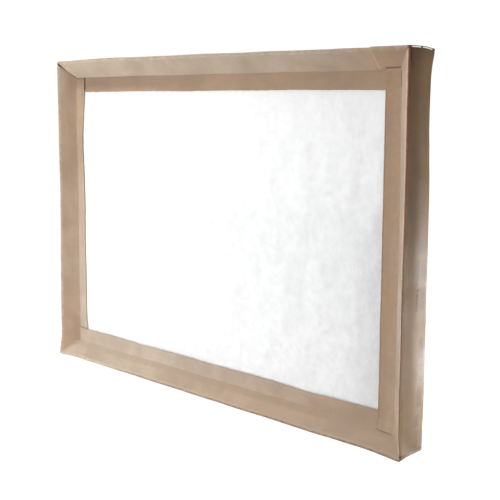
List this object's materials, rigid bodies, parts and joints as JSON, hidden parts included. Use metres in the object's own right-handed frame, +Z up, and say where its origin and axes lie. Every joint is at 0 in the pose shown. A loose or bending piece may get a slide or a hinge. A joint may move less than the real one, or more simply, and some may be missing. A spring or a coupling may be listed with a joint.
{
  "type": "disposable panel air filter",
  "caption": "Flat rectangular air filter: a white polyester pad held in a folded brown board frame with a sloped front recess and lapped flanges.",
  "frame": {"origin": "middle of the face of the bottom wall, which the filter stands on", "axes": "+X along the width, to the right as seen from the front; +Y from the open front to the flat back; +Z up along the height"},
  "size_m": [0.75, 0.0498, 0.5048],
  "materials": {
    "brown_board": "matte",
    "white_polyester": "matte"
  },
  "bodies": {
    "root": {"board_frame": "brown_board", "filter_pad": "white_polyester"}
  },
  "joints": []
}
